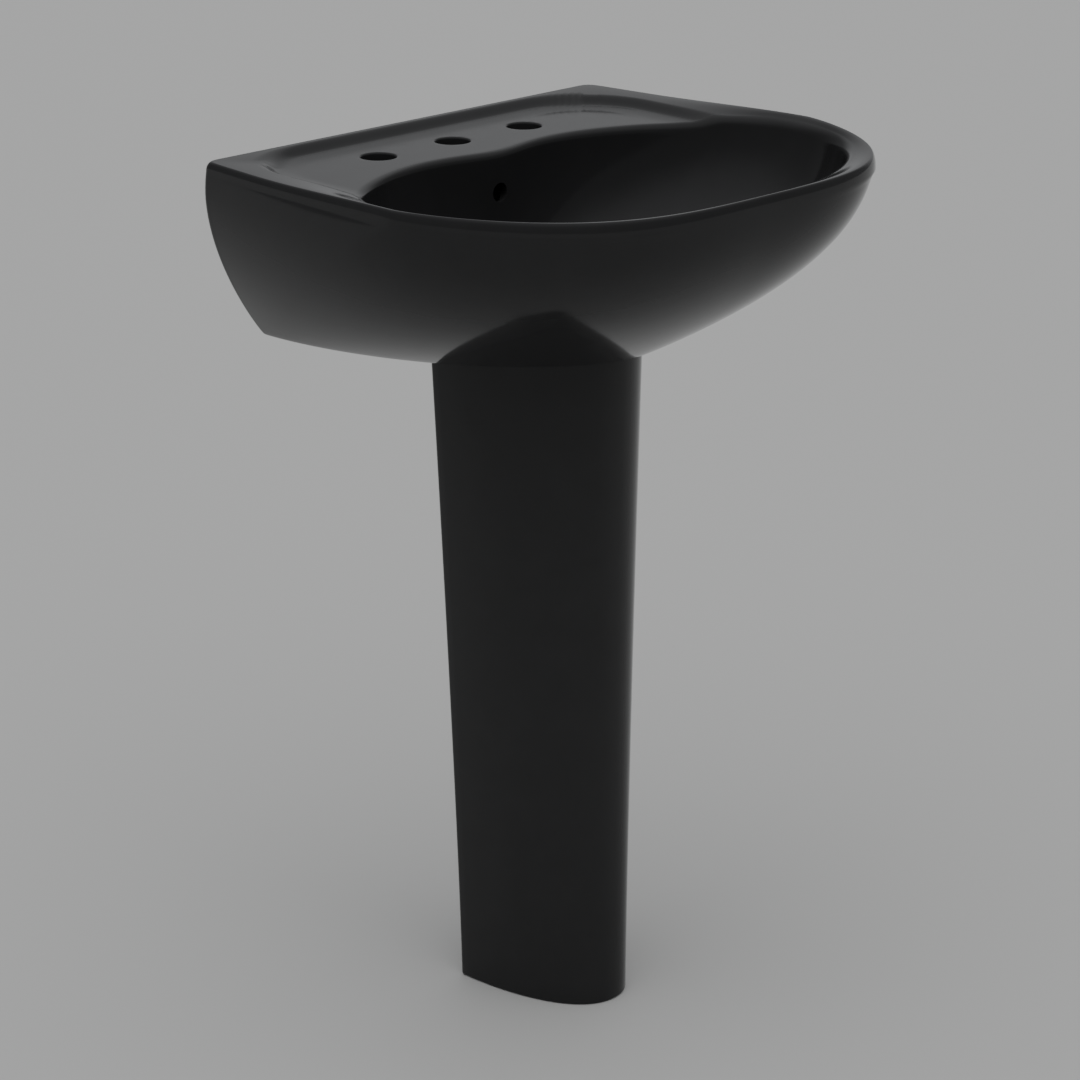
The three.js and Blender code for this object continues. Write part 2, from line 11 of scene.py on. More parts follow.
import bmesh
import bpy
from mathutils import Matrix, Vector


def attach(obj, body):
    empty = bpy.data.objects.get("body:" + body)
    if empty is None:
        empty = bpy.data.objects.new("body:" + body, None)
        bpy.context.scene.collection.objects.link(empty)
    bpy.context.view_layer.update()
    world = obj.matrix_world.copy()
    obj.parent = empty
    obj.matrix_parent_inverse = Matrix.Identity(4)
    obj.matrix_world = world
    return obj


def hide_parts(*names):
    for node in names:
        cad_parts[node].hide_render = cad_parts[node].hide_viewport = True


# ---------------------------------------------------------------- driving dimensions, as in the CAD
DEPTH = 501
RIM_HEIGHT = 892
BASIN_HEIGHT = 192
BASIN_BOTTOM = RIM_HEIGHT - BASIN_HEIGHT
CHINA = 12
FIT = 0.4

BELLY_DROP = 36
BELLY_BACK = 270
LOWER_BACK = 200
LOWER_FRONT = 327
FLARE = 25
WIDEST_FROM_WALL = 314
RIM_ROUND = 4
RIM_FALL = 14
CORNER_ROUND = 9
BACK_FALL = 4.5
BACK_FALL_FROM = -300  # line where the rim starts to fall toward the wall
BACK_FALL_RUN = 220
FOOT_EDGE = 2.5  # rounding of the basin's lower edge

DECK_DROP = 15
LEDGE = 9
DECK_STEP = 15
DECK_RUN = 38
DECK_RUN_SHARE = 0.28
DECK_HALF_WIDTH = 252
DECK_CORNER = 95
DECK_FADE_FROM = -290  # the deck sinks from nothing here to its full depth over the fade's run
DECK_FADE_RUN = 110
HOLE_SPACING = 101.6
HOLE_R = 17.5
HOLE_FROM_WALL = 71
HOLE_LIP = 2.2  # soft glazed edge of each hole

BOWL_CENTRE = -285
BOWL_HALF_WIDTH = 271
BOWL_FRONT = -480
BOWL_BACK = -117
BOWL_BUMP = 23
BOWL_BUMP_HALF = 70
BOWL_LEAN = 0.12
BOWL_POWER = 2.6  # the higher, the steeper its walls and the flatter its floor
EDGE_DROP = 6
EDGE_ROUND = 9  # soft edge between the deck and the bowl
SEAT_HEIGHT = RIM_HEIGHT - 143
SEAT_R = 42

DRAIN_Y = -215
DRAIN_HOLE_R = 23
COLLAR_R = 38
COLLAR_BOTTOM = BASIN_BOTTOM + 6
OVERFLOW_R = 9.5
OVERFLOW_LIP = 3
OVERFLOW_Y = -126  # line of its way down behind the bowl
OVERFLOW_HEIGHT = RIM_HEIGHT - 57
BACK_PLATE = 14
BACK_PLATE_BOTTOM = RIM_HEIGHT - 112
WALL_BOLT_X = 127
WALL_BOLT_HEIGHT = RIM_HEIGHT - 66
LAND_THICKNESS = 14
LAND_BACK = -150

PEDESTAL_TOP = BASIN_BOTTOM - FIT
PEDESTAL_BACK = -146
PEDESTAL_WALL = 11
TOP_HALF_WIDTH = 107
FOOT_HALF_WIDTH = 70
TOP_REACH = 155
FOOT_REACH = 158
FOOT_ROUND = 3
TAPER_POWER = 1.2
NOSE_POWER = 0.9  # 1 would make the nose an ellipse; less makes it squarer
FOOT_WEB = 14
FLOOR_BOLT_X = 32
FLOOR_BOLT_Y = -172
BOLT_HOLE_R = 5.5

TUBE_R = 15.9
TUBE_WALL = 1.5
BEND_R = 38
BEND_BACK = DRAIN_Y + 2 * BEND_R
BEND_TOP = 502
ARM_END = -72
STOPPER_LIFT = 9
TAIL_TOP = BASIN_BOTTOM - 34
FLANGE_TOP = SEAT_HEIGHT + 3.4
BODY_R = 20
BODY_BORE = 17.6
LOCKNUT_TOP = COLLAR_BOTTOM - 8.2

OUTLINE_POINTS = (24, 8, 34, 56)  # on half the back, a corner, a side and half the front
CREST_PULL = 80  # the wider the top in one direction against this, the closer its rings lie to the crest
LIP_STEPS = 8  # facets across the soft lip of a hole
FLUTE_BAND = 1.2  # flutes cut only what lies this near a nut's widest radius
TAP_HOLE_DEPTH = 37  # a tap hole's cutter reaches this far below the deck, into the hollow
OVERRUN = 20  # and this far above it
PAST_SIDES = 300  # half-width of a block that is wider than the basin
DISC_SEGMENTS = 128
SEAM = 5  # cutters that open an underside or the back start this far outside it

# ---------------------------------------------------------------- camera and light, metres
CAMERA_AT = (-2.477, -2.4225, 1.666)
CAMERA_AZIMUTH = 45
CAMERA_PITCH = 18.69
CAMERA_LENS = 120.57
FLOOR_HALF = 30

WORLD_LEVEL = 0.16
WORLD_GLOWS = [  # toward, cosine where it starts, strength
    ((0.80, 0.55, 0.26), 0.80, 0.28),
    ((0.0, 0.0, 1.0), 0.30, 0.55),
    ((-1.0, 0.5, 0.35), 0.70, 0.06),
]
WORLD_TINT = (0.97, 0.98, 1.0)
OVERHEAD_POWER = 1.0
OVERHEAD_SPREAD = 70  # degrees
OVERHEAD_TOWARD = (0.25, 0.35, -1)


# ---------------------------------------------------------------- small helpers
def lerp(a, b, t):
    return a + (b - a) * t


def smooth(t):
    t = min(1.0, max(0.0, t))
    return t * t * (3 - 2 * t)


def place(point):
    """A point in wall millimetres, in the frame's metres."""
    return Vector((point[0], point[1] + DEPTH / 2, point[2])) / 1000


def new_object(name, mesh):
    piece = bpy.data.objects.new(name, mesh)
    bpy.context.collection.objects.link(piece)
    return piece


def shade(piece, sharp_degrees=38):
    piece.data.shade_smooth()
    piece.data.set_sharp_from_angle(angle=math.radians(sharp_degrees))


def mesh_piece(name, points, faces):
    """An object from wall millimetres, with its faces turned outward."""
    mesh = bpy.data.meshes.new(name)
    mesh.from_pydata([place(p) for p in points], [], faces)
    work = bmesh.new()
    work.from_mesh(mesh)
    bmesh.ops.recalc_face_normals(work, faces=work.faces)
    work.to_mesh(mesh)
    work.free()
    return new_object(name, mesh)


def circle(radius, count):
    """Points round a circle, as pairs."""
    turns = [2 * math.pi * k / count for k in range(count)]
    return [(radius * math.cos(t), radius * math.sin(t)) for t in turns]


def level(plan, z):
    """The points of a plan at one height."""
    return [(x, y, z) for x, y in plan]


def skin(rings, joined=False):
    """Faces from each ring of points to the next. Joined adds those from the last ring to the first."""
    count = len(rings[0])
    faces = []
    for r in range(len(rings) if joined else len(rings) - 1):
        low, high = r * count, (r + 1) % len(rings) * count
        for k in range(count):
            n = (k + 1) % count
            faces.append((low + k, low + n, high + n, high + k))
    return faces


def loft(name, rings, closed_ends=True):
    """A skin through rings of equal point count. With open ends it joins its last ring to its first."""
    count = len(rings[0])
    points = [p for ring in rings for p in ring]
    faces = skin(rings, not closed_ends)
    if closed_ends:
        for start in (0, (len(rings) - 1) * count):
            ring = points[start : start + count]
            points.append(tuple(sum(c) / count for c in zip(*ring)))
            faces += [(start + k, start + (k + 1) % count, len(points) - 1) for k in range(count)]
    return mesh_piece(name, points, faces)


def turned(name, profile, segments=96, at=(0, DRAIN_Y, 0), flutes=0, flute_depth=0.0):
    """A closed [radius, height] profile turned about a vertical through at. Flutes scallop its outside."""
    outer = max(r for r, _ in profile)
    rings = []
    for k in range(segments):
        turn = 2 * math.pi * k / segments
        dip = flute_depth * abs(math.sin(flutes * turn / 2)) ** 3 if flutes else 0
        ring = []
        for r, z in profile:
            radius = r - dip if r > outer - FLUTE_BAND else r
            ring.append((at[0] + radius * math.cos(turn), at[1] + radius * math.sin(turn), at[2] + z))
        rings.append(ring)
    return loft(name, rings, closed_ends=False)


def tube_rings(path, radius, sides):
    """Circles of points round a path in the middle plane, each square to it."""
    across = Vector((1, 0, 0))
    rings = []
    for i, centre in enumerate(path):
        ahead = path[min(i + 1, len(path) - 1)] - path[max(i - 1, 0)]
        up = across.cross(ahead).normalized()
        rings.append([centre + x * across + y * up for x, y in circle(radius, sides)])
    return rings


def bent_tube(name, stops, outer, inner, steps=10, sides=48):
    """A bent tube in the middle plane through stops (y, z), with its bore and square-cut ends."""
    path = resampled(stops, steps)
    rings = tube_rings(path, outer, sides) + tube_rings(path, inner, sides)[::-1]
    return loft(name, rings, closed_ends=False)


def resampled(stops, steps):
    """A Catmull-Rom line through stops (y, z) in the middle plane, with that many steps between each two."""
    points = [Vector((0, y, z)) for y, z in stops]
    line = []
    for i in range(len(points) - 1):
        a, b = points[max(i - 1, 0)], points[i]
        c, d = points[i + 1], points[min(i + 2, len(points) - 1)]
        bend = 2 * a - 5 * b + 4 * c - d
        twist = 3 * b - a - 3 * c + d
        for s in range(steps):
            t = s / steps
            line.append(0.5 * (2 * b + (c - a) * t + bend * t**2 + twist * t**3))
    return line + [points[-1]]


def cut(piece, cutters, operation="DIFFERENCE"):
    """Cuts each cutter out of the piece and throws the cutters away."""
    for cutter in cutters:
        step = piece.modifiers.new("cut", "BOOLEAN")
        step.operation = operation
        step.solver = "MANIFOLD"
        step.object = cutter
    graph = bpy.context.evaluated_depsgraph_get()
    mesh = bpy.data.meshes.new_from_object(piece.evaluated_get(graph))
    piece.modifiers.clear()
    piece.data = mesh
    for cutter in cutters:
        bpy.data.objects.remove(cutter)
    return piece


def rod(name, radius, low, high, at=(0, 0), segments=64):
    """An upright cylinder between two heights."""
    plan = [(at[0] + x, at[1] + y) for x, y in circle(radius, segments)]
    return loft(name, [level(plan, z) for z in (low, high)])


def rod_from_wall(name, radius, at, near, far, segments=48):
    """A level cylinder square to the wall, between two distances from it, round at (x, z)."""
    ring = circle(radius, segments)
    return loft(name, [[(at[0] + x, -away, at[1] + z) for x, z in ring] for away in (near, far)])


def block(name, x0, x1, y0, y1, z0, z1):
    """A box between two corners."""
    plan = [(x0, y0), (x1, y0), (x1, y1), (x0, y1)]
    return loft(name, [level(plan, z) for z in (z0, z1)])


# ---------------------------------------------------------------- basin outlines
def body_shape(depth):
    """The basin's plan at a depth below the rim."""
    t = depth / BASIN_HEIGHT
    above = max(0, BELLY_DROP - depth) / BELLY_DROP
    below = max(0, depth - BELLY_DROP) / (BASIN_HEIGHT - BELLY_DROP)
    nose = max(0, depth - RIM_FALL) / (BASIN_HEIGHT - RIM_FALL)
    back = lerp(BELLY_BACK, LOWER_BACK, below**1.73) - 5 * above**2
    return {
        "back": back,
        "wide": back + FLARE * (1 - t**2),
        "widest": lerp(WIDEST_FROM_WALL, 16, t),
        "front": lerp(DEPTH, LOWER_FRONT, nose**2),
        "side_power": lerp(3.51, 1.82, nose**0.6),
        "front_power": lerp(1.35, 1.82, nose) + (1.4 + 3 * nose) * nose * (1 - nose),
    }


def outline(depth, inset=0, back_line=0, corner=CORNER_ROUND, detail=1):
    """A closed plan at a depth, as (x, y) pairs from the middle of its back line round by +X."""
    s = body_shape(depth)
    backs, corners, sides, fronts = (round(n * detail) for n in OUTLINE_POINTS)

    def side(away):
        return s["wide"] - inset - (s["wide"] - s["back"]) * max(0, 1 - away / s["widest"]) ** 1.43

    flat = side(corner) - corner
    half = [(flat * k / backs, back_line) for k in range(backs)]
    for k in range(corners):
        turn = math.pi / 2 * (1 - k / corners)
        half.append((flat + corner * math.cos(turn), back_line - corner + corner * math.sin(turn)))
    for k in range(sides):
        away = lerp(corner - back_line, s["widest"], k / sides)
        half.append((side(away), -away))
    for k in range(fronts + 1):
        turn = math.pi / 2 * (1 - (1 - k / fronts) ** 1.8)
        x = (s["wide"] - inset) * max(0, math.cos(turn)) ** (2 / s["side_power"])
        reach = (s["front"] - inset - s["widest"]) * math.sin(turn) ** (2 / s["front_power"])
        half.append((x if k < fronts else 0, -s["widest"] - reach))
    return half + [(-x, y) for x, y in half[-2:0:-1]]


def rim_top(y):
    """Height of the rim's crest, which runs slightly down toward the wall."""
    return RIM_HEIGHT - BACK_FALL * smooth((y - BACK_FALL_FROM) / BACK_FALL_RUN)


def deck_share(x, y):
    """How far the top has sunk to the recessed deck, 0 to 1: a rounded rectangle, faded toward the front."""
    across = abs(x) - (DECK_HALF_WIDTH - DECK_CORNER)
    along = y + LEDGE + DECK_CORNER
    outside = math.hypot(max(across, 0), max(along, 0)) + min(max(across, along), 0)
    inside = DECK_CORNER - outside
    steep = (1 - DECK_RUN_SHARE) * smooth(inside / DECK_STEP)
    shallow = DECK_RUN_SHARE * smooth(inside / DECK_RUN)
    return (steep + shallow) * smooth((y - DECK_FADE_FROM) / DECK_FADE_RUN)


def bowl_reach(angle, bulge=1.0):
    """Distance from the bowl's centre to its edge, in a direction. The deck's bulge fades down the bowl."""
    c, s = math.cos(angle), math.sin(angle)
    length, power = (BOWL_BACK - BOWL_CENTRE, 2.2) if s > 0 else (BOWL_CENTRE - BOWL_FRONT, 2.1)
    reach = (abs(c / BOWL_HALF_WIDTH) ** power + abs(s / length) ** power) ** (-1 / power)
    bump = BOWL_BUMP * math.exp(-((reach * c / BOWL_BUMP_HALF) ** 2)) if s > 0 else 0
    return reach - bulge * bump


class BasinTop:
    """The section of the basin's top in each direction: crest, deck or rim, soft edge, bowl."""

    def __init__(self, detail=1):
        self.crest = outline(RIM_FALL, RIM_ROUND, -RIM_ROUND, CORNER_ROUND + 5, detail)
        self.angles = [math.atan2(y - BOWL_CENTRE, x) for x, y in self.crest]
        self.edges = []
        self.widths = []
        for (x, y), angle in zip(self.crest, self.angles):
            reach = bowl_reach(angle)
            edge = (reach * math.cos(angle), BOWL_CENTRE + reach * math.sin(angle))
            self.edges.append(edge)
            self.widths.append(math.hypot(edge[0] - x, edge[1] - y))

    def top(self, k, step):
        """A point of the top in direction k, from the crest at step 0 to the bowl's edge at 1."""
        (x0, y0), (x1, y1) = self.crest[k], self.edges[k]
        share = step ** (1 + self.widths[k] / CREST_PULL)
        x, y = lerp(x0, x1, share), lerp(y0, y1, share)
        rim = rim_top(y) - EDGE_DROP * smooth(share)
        return Vector((x, y, lerp(rim, RIM_HEIGHT - DECK_DROP, deck_share(x, y))))

    def bowl(self, k, fall, grow=0):
        """A point of the bowl in direction k, from its edge at fall 0 to the drain seat at 1."""
        size = (1 - fall**BOWL_POWER) ** 0.5 * (1 - BOWL_LEAN * fall)
        reach = lerp(SEAT_R, bowl_reach(self.angles[k], 1 - fall**2), size) + grow
        centre = lerp(DRAIN_Y, BOWL_CENTRE, size)
        z = lerp(self.top(k, 1).z, SEAT_HEIGHT, fall) - grow
        return Vector((reach * math.cos(self.angles[k]), centre + reach * math.sin(self.angles[k]), z))

    def rings(self, bowl_steps=56, edge_steps=10, top_steps=72):
        """Rings from the drain seat up and out to the crest."""
        count = len(self.crest)
        soft_fall = EDGE_ROUND / (RIM_HEIGHT - SEAT_HEIGHT)
        made = []
        for j in range(bowl_steps):
            turn = math.pi / 2 * (1 - j / bowl_steps)
            fall = lerp(soft_fall, 1, math.sin(turn))
            made.append([self.bowl(k, fall) for k in range(count)])
        last = [
            (1 - min(EDGE_ROUND, 0.45 * w) / w) ** (1 / (1 + w / CREST_PULL)) for w in self.widths
        ]
        for j in range(edge_steps):
            t = j / edge_steps
            ring = []
            for k in range(count):
                low, mid, far = self.bowl(k, soft_fall), self.top(k, 1), self.top(k, last[k])
                ring.append(low * (1 - t) ** 2 + 2 * mid * t * (1 - t) + far * t**2)
            made.append(ring)
        for j in range(top_steps + 1):
            made.append([self.top(k, last[k] * (1 - j / top_steps)) for k in range(count)])
        return made


# ---------------------------------------------------------------- china
def basin_sides(detail=1):
    """Rings from just under the crest down to the basin's lower edge."""
    rings = []
    for j in range(1, 12):
        turn = math.pi / 2 * (1 - j / 12)
        inset = RIM_ROUND * (1 - math.cos(turn))
        plan = outline(RIM_FALL, inset, -inset, CORNER_ROUND + inset, detail)
        rings.append([(x, y, lerp(RIM_HEIGHT - RIM_FALL, rim_top(y), math.sin(turn))) for x, y in plan])
    steps = 46
    for j in range(steps + 1):
        depth = lerp(RIM_FALL, BASIN_HEIGHT - FOOT_EDGE, j / steps)
        rings.append(level(outline(depth, detail=detail), RIM_HEIGHT - depth))
    for j in range(1, 5):
        turn = math.pi / 2 * j / 4
        depth = BASIN_HEIGHT - FOOT_EDGE * (1 - math.sin(turn))
        inset = FOOT_EDGE * (1 - math.cos(turn))
        rings.append(level(outline(depth, inset, -inset, detail=detail), RIM_HEIGHT - depth))
    return rings


def drain_column(radius, low, high):
    """An upright cylinder on the drain's axis."""
    return rod("column", radius, low, high, (0, DRAIN_Y), 72)


def overflow_bar(radius, top):
    """The overflow's way down behind the bowl to the drain, from a top height."""
    stops = [(OVERFLOW_Y, top), (OVERFLOW_Y, 817), (-129, 782), (-146, 747), (-172, 726)]
    stops.append((DRAIN_Y, BASIN_BOTTOM + 20))
    return loft("overflow", tube_rings(resampled(stops, 5), radius, 32))


def basin_hollow(top):
    """The space under the deck and round the bowl."""
    depths = [DECK_DROP + CHINA + k * (BASIN_HEIGHT - DECK_DROP - CHINA) / 16 for k in range(17)]
    rings = [level(outline(d, CHINA, SEAM, 2, 0.5), RIM_HEIGHT - d) for d in depths]
    rings.append([(x, y, BASIN_BOTTOM - SEAM) for x, y, _ in rings[-1]])
    hollow = loft("hollow", rings)
    count = len(top.crest)
    falls = [math.sin(math.pi / 2 * j / 24) for j in range(25)]
    china = [[top.bowl(k, fall, CHINA) for k in range(count)] for fall in falls]
    china.insert(0, [Vector((p.x, p.y, RIM_HEIGHT + 60)) for p in china[0]])
    land_plan = outline(BASIN_HEIGHT, 2, detail=0.5)
    land = loft("land", [level(land_plan, z) for z in (BASIN_BOTTOM - 6, BASIN_BOTTOM + LAND_THICKNESS)])
    low, high = BASIN_BOTTOM - 20, BASIN_BOTTOM + 60
    cut(land, [block("behind", -PAST_SIDES, PAST_SIDES, LAND_BACK, 20, low, high)])
    kept = [
        loft("china", china),
        land,
        drain_column(COLLAR_R, COLLAR_BOTTOM, SEAT_HEIGHT),
        block("plate", -PAST_SIDES, PAST_SIDES, -BACK_PLATE, 10, BACK_PLATE_BOTTOM, RIM_HEIGHT),
        overflow_bar(OVERFLOW_R + 7, OVERFLOW_HEIGHT + 18),
    ]
    return cut(hollow, kept)


def land_opening():
    """The opening over the pedestal's hollow, round the drain's collar."""
    plan = pedestal_plan(TOP_HALF_WIDTH - PEDESTAL_WALL - 4, TOP_REACH - PEDESTAL_WALL - 10, LAND_BACK)
    plan += [(plan[-1][0], LAND_BACK + 20), (plan[0][0], LAND_BACK + 20)]
    low, high = BASIN_BOTTOM - SEAM, BASIN_BOTTOM + LAND_THICKNESS + 10
    opening = loft("opening", [level(plan, low), level(plan, high)])
    return cut(opening, [drain_column(COLLAR_R, COLLAR_BOTTOM, SEAT_HEIGHT)])


def soft_lip(radius, lip):
    """How a hole widens toward its mouth, as (radius, depth below the face) pairs."""
    turns = [math.pi / 2 * j / LIP_STEPS for j in range(LIP_STEPS + 1)]
    return [(radius + lip * (1 - math.cos(t)), lip * (1 - math.sin(t))) for t in turns]


def tap_hole(x):
    """A cutter for one tap hole, with a soft edge where it meets the deck."""
    face = RIM_HEIGHT - DECK_DROP
    profile = [(HOLE_R, face - TAP_HOLE_DEPTH)]
    profile += [(r, face - depth) for r, depth in soft_lip(HOLE_R, HOLE_LIP)]
    profile.append((HOLE_R + HOLE_LIP, face + OVERRUN))
    rings = [[(x + across, y - HOLE_FROM_WALL, z) for across, y in circle(r, 72)] for r, z in profile]
    return loft("hole", rings)


def overflow_hole():
    """A cutter for the overflow, with a soft edge where it meets the bowl's back wall."""
    face = BOWL_CENTRE + bowl_reach(math.pi / 2) - 1.5
    profile = [(OVERFLOW_R, OVERFLOW_Y + 4)]
    profile += [(r, face + depth) for r, depth in soft_lip(OVERFLOW_R, OVERFLOW_LIP)]
    profile.append((OVERFLOW_R + OVERFLOW_LIP, face - 30))
    rings = [[(x, y, OVERFLOW_HEIGHT + z) for x, z in circle(r, 56)] for r, y in profile]
    return loft("overflow_hole", rings)


def build_basin():
    """The basin's skin with its hollow, its holes and the overflow's way cut out."""
    body = loft("basin_china", BasinTop().rings() + basin_sides())
    bolts = [
        rod_from_wall("bolt", BOLT_HOLE_R, (side * WALL_BOLT_X, WALL_BOLT_HEIGHT), -SEAM, BACK_PLATE + 6)
        for side in (-1, 1)
    ]
    cutters = [
        basin_hollow(BasinTop(0.5)),
        land_opening(),
        overflow_hole(),
        overflow_bar(OVERFLOW_R, OVERFLOW_HEIGHT + 11),
        drain_column(DRAIN_HOLE_R, BASIN_BOTTOM - SEAM, RIM_HEIGHT),
        *[tap_hole(k * HOLE_SPACING) for k in (-1, 0, 1)],
        *bolts,
    ]
    cut(body, cutters)
    shade(body)
    return body


def pedestal_plan(half, reach, back=PEDESTAL_BACK, steps=72):
    """The pedestal's rounded U, as (x, y) pairs from +X round the nose."""
    plan = []
    for k in range(steps + 1):
        turn = math.pi * k / steps
        c, s = math.cos(turn), max(0.0, math.sin(turn))
        plan.append((half * math.copysign(abs(c) ** NOSE_POWER, c), back - reach * s**NOSE_POWER))
    return plan


def pedestal_section(share, z, trim=0):
    """One closed ring of the pedestal at a share of its height: outer face, rounded lip, inner face, lip."""
    half = lerp(FOOT_HALF_WIDTH, TOP_HALF_WIDTH, share**TAPER_POWER)
    reach = lerp(FOOT_REACH, TOP_REACH, share)
    lip = PEDESTAL_WALL / 2
    back = PEDESTAL_BACK - lip
    outer = pedestal_plan(half - trim, reach - lip - trim, back)
    inner = pedestal_plan(half - PEDESTAL_WALL + trim, reach - lip - PEDESTAL_WALL + trim, back)[::-1]
    section = list(outer)
    for end, start in ((outer[-1], inner[0]), (inner[-1], outer[0])):
        middle, radius = (end[0] + start[0]) / 2, (start[0] - end[0]) / 2
        for k in range(1, 8):
            turn = math.pi * k / 8
            section.append((middle - radius * math.cos(turn), back + abs(radius) * math.sin(turn)))
        if start is inner[0]:
            section += inner
    return level(section, z)


def build_pedestal():
    """The open-backed column, with a rounding at its foot."""
    rings = []
    for j in range(6):
        turn = math.pi / 2 * j / 5
        z, trim = FOOT_ROUND * (1 - math.cos(turn)), FOOT_ROUND * (1 - math.sin(turn))
        rings.append(pedestal_section(0, z, trim))
    steps = 48
    for j in range(1, steps + 1):
        z = lerp(FOOT_ROUND, PEDESTAL_TOP, j / steps)
        rings.append(pedestal_section(z / PEDESTAL_TOP, z))
    points = [p for ring in rings for p in ring]
    count = len(rings[0])
    foot, top = range(count), range(len(points) - count, len(points))
    body = mesh_piece("pedestal_china", points, [*skin(rings), tuple(foot), tuple(top)])
    shade(body)
    return body


def build_foot_web():
    """The plate across the pedestal's foot that the floor screws hold."""
    y0, y1 = FLOOR_BOLT_Y - 24, FLOOR_BOLT_Y + 20
    half = FOOT_HALF_WIDTH - PEDESTAL_WALL
    web = block("pedestal_web", -half, half, y0, y1, FIT, FOOT_WEB)
    holes = [(side * FLOOR_BOLT_X, FLOOR_BOLT_Y) for side in (-1, 1)]
    return cut(web, [rod("hole", BOLT_HOLE_R, -SEAM, FOOT_WEB + 16, at) for at in holes])


# ---------------------------------------------------------------- drain and trap
def rounded_ring(outer, inner, low, high, soft=0.4):
    """The profile of a ring with softened outer corners."""
    return [
        (inner, low),
        (outer - soft, low),
        (outer - soft * 0.3, low + soft * 0.3),
        (outer, low + soft),
        (outer, high - soft),
        (outer - soft * 0.3, high - soft * 0.3),
        (outer - soft, high),
        (inner, high),
    ]


def build_flange():
    """The flange's socket, its rounded lip and the flare into its bore, as heights over the seat."""
    socket = [(BODY_BORE, -8), (BODY_R, -8), (BODY_R, 1.4)]
    lip = [(30.6, 1.4), (31, 1.8), (30.6, 2.5), (29.4, 3.1), (27.6, 3.4), (25.8, 3.3), (24, 2.8)]
    flare = [(21.4, 2.4), (19.2, 2), (18, 1.4), (BODY_BORE, 0.6)]
    return turned("drain_flange_ring", socket + lip + flare, DISC_SEGMENTS, (0, DRAIN_Y, SEAT_HEIGHT))


def build_stopper():
    """The stopper's underside, edge and dome, as heights over the flange's top when it is open."""
    under = [(0.01, -2), (15, -2), (20, -0.8), (24, 0.3), (24.8, 0.8)]
    edge = [(25, 1.4), (24.7, 2.1), (23.8, 2.8)]
    dome = [(max(0.01, 24 * (1 - k / 10)), 3 + 3.6 * (1 - (1 - k / 10) ** 2)) for k in range(1, 11)]
    return turned("stopper_dome", under + edge + dome, DISC_SEGMENTS, (0, DRAIN_Y, FLANGE_TOP + STOPPER_LIFT))


def build_locknut():
    profile = rounded_ring(29, BODY_R + FIT, LOCKNUT_TOP - 10, LOCKNUT_TOP, 0.8)
    return turned("drain_locknut_ring", profile, 144, flutes=12, flute_depth=2.4)


def build_slip_nut(name, y):
    """A slip nut: a fluted skirt over the cup, and a lip that closes on the tube."""
    low, high = BEND_TOP - 10, BEND_TOP + 10
    profile = [(21 + FIT, low), (23.4, low), (24, low + 0.8), (24, high - 3), (23.2, high - 1), (21.4, high)]
    profile += [(TUBE_R + FIT, high), (TUBE_R + FIT, high - 4), (21 + FIT, high - 4)]
    return turned(name, profile, 192, (0, y, 0), flutes=16, flute_depth=1.1)


def build_tailpiece():
    profile = rounded_ring(TUBE_R, TUBE_R - TUBE_WALL, BEND_TOP - 14, TAIL_TOP, 0.3)
    return turned("tailpiece_tube", profile, 96)


def build_trap_bend():
    """The half turn and its two cups, in one piece."""
    turn = [math.pi * k / 12 for k in range(13)]
    bend = [(DRAIN_Y + BEND_R * (1 - math.cos(t)), BEND_TOP - 24 - BEND_R * math.sin(t)) for t in turn]
    stops = [(DRAIN_Y, BEND_TOP - 20), *bend, (BEND_BACK, BEND_TOP - 20)]
    tube = bent_tube("trap_bend_tube", stops, TUBE_R + TUBE_WALL, TUBE_R - TUBE_WALL, 4)
    outside = [(TUBE_R - TUBE_WALL, -23), (18, -23.4), (20, -22.4), (21, -20.6), (21, 0)]
    inside = [(TUBE_R + FIT, 0), (TUBE_R + FIT, -19.5)]
    cups = [turned("trap_cup", outside + inside, 96, (0, y, BEND_TOP)) for y in (DRAIN_Y, BEND_BACK)]
    return cut(tube, cups, "UNION")


def build_trap_arm():
    """The arm that rises from the bend and turns toward the wall."""
    turn = [math.pi / 2 * k / 8 for k in range(9)]
    elbow = [(BEND_BACK + BEND_R * (1 - math.cos(t)), BEND_TOP + 14 + BEND_R * math.sin(t)) for t in turn]
    stops = [(BEND_BACK, BEND_TOP - 14), (BEND_BACK, BEND_TOP), *elbow, (ARM_END, elbow[-1][1])]
    return bent_tube("trap_arm_tube", stops, TUBE_R, TUBE_R - TUBE_WALL, 6)


# ---------------------------------------------------------------- materials
def material(name, colour, roughness, metallic=0.0):
    """A new material and its Principled shader."""
    made = bpy.data.materials.new(name)
    made.use_nodes = True
    shader = made.node_tree.nodes["Principled BSDF"]
    shader.inputs["Base Color"].default_value = (*colour, 1)
    shader.inputs["Roughness"].default_value = roughness
    shader.inputs["Metallic"].default_value = metallic
    return made, shader


def noise(tree, scale, detail=2.0, stretch=(1, 1, 1)):
    """Noise in object space, so many features to a metre."""
    where = tree.nodes.new("ShaderNodeTexCoord")
    mapping = tree.nodes.new("ShaderNodeMapping")
    mapping.inputs["Scale"].default_value = stretch
    made = tree.nodes.new("ShaderNodeTexNoise")
    made.inputs["Scale"].default_value = scale
    made.inputs["Detail"].default_value = detail
    tree.links.new(where.outputs["Object"], mapping.inputs["Vector"])
    tree.links.new(mapping.outputs["Vector"], made.inputs["Vector"])
    return made.outputs["Fac"]


def spread(tree, value, low, high):
    """A noise's usual values, 0.3 to 0.7, stretched to run from low to high."""
    made = tree.nodes.new("ShaderNodeMapRange")
    made.inputs["From Min"].default_value = 0.3
    made.inputs["From Max"].default_value = 0.7
    made.inputs["To Min"].default_value = low
    made.inputs["To Max"].default_value = high
    tree.links.new(value, made.inputs["Value"])
    return made.outputs["Result"]


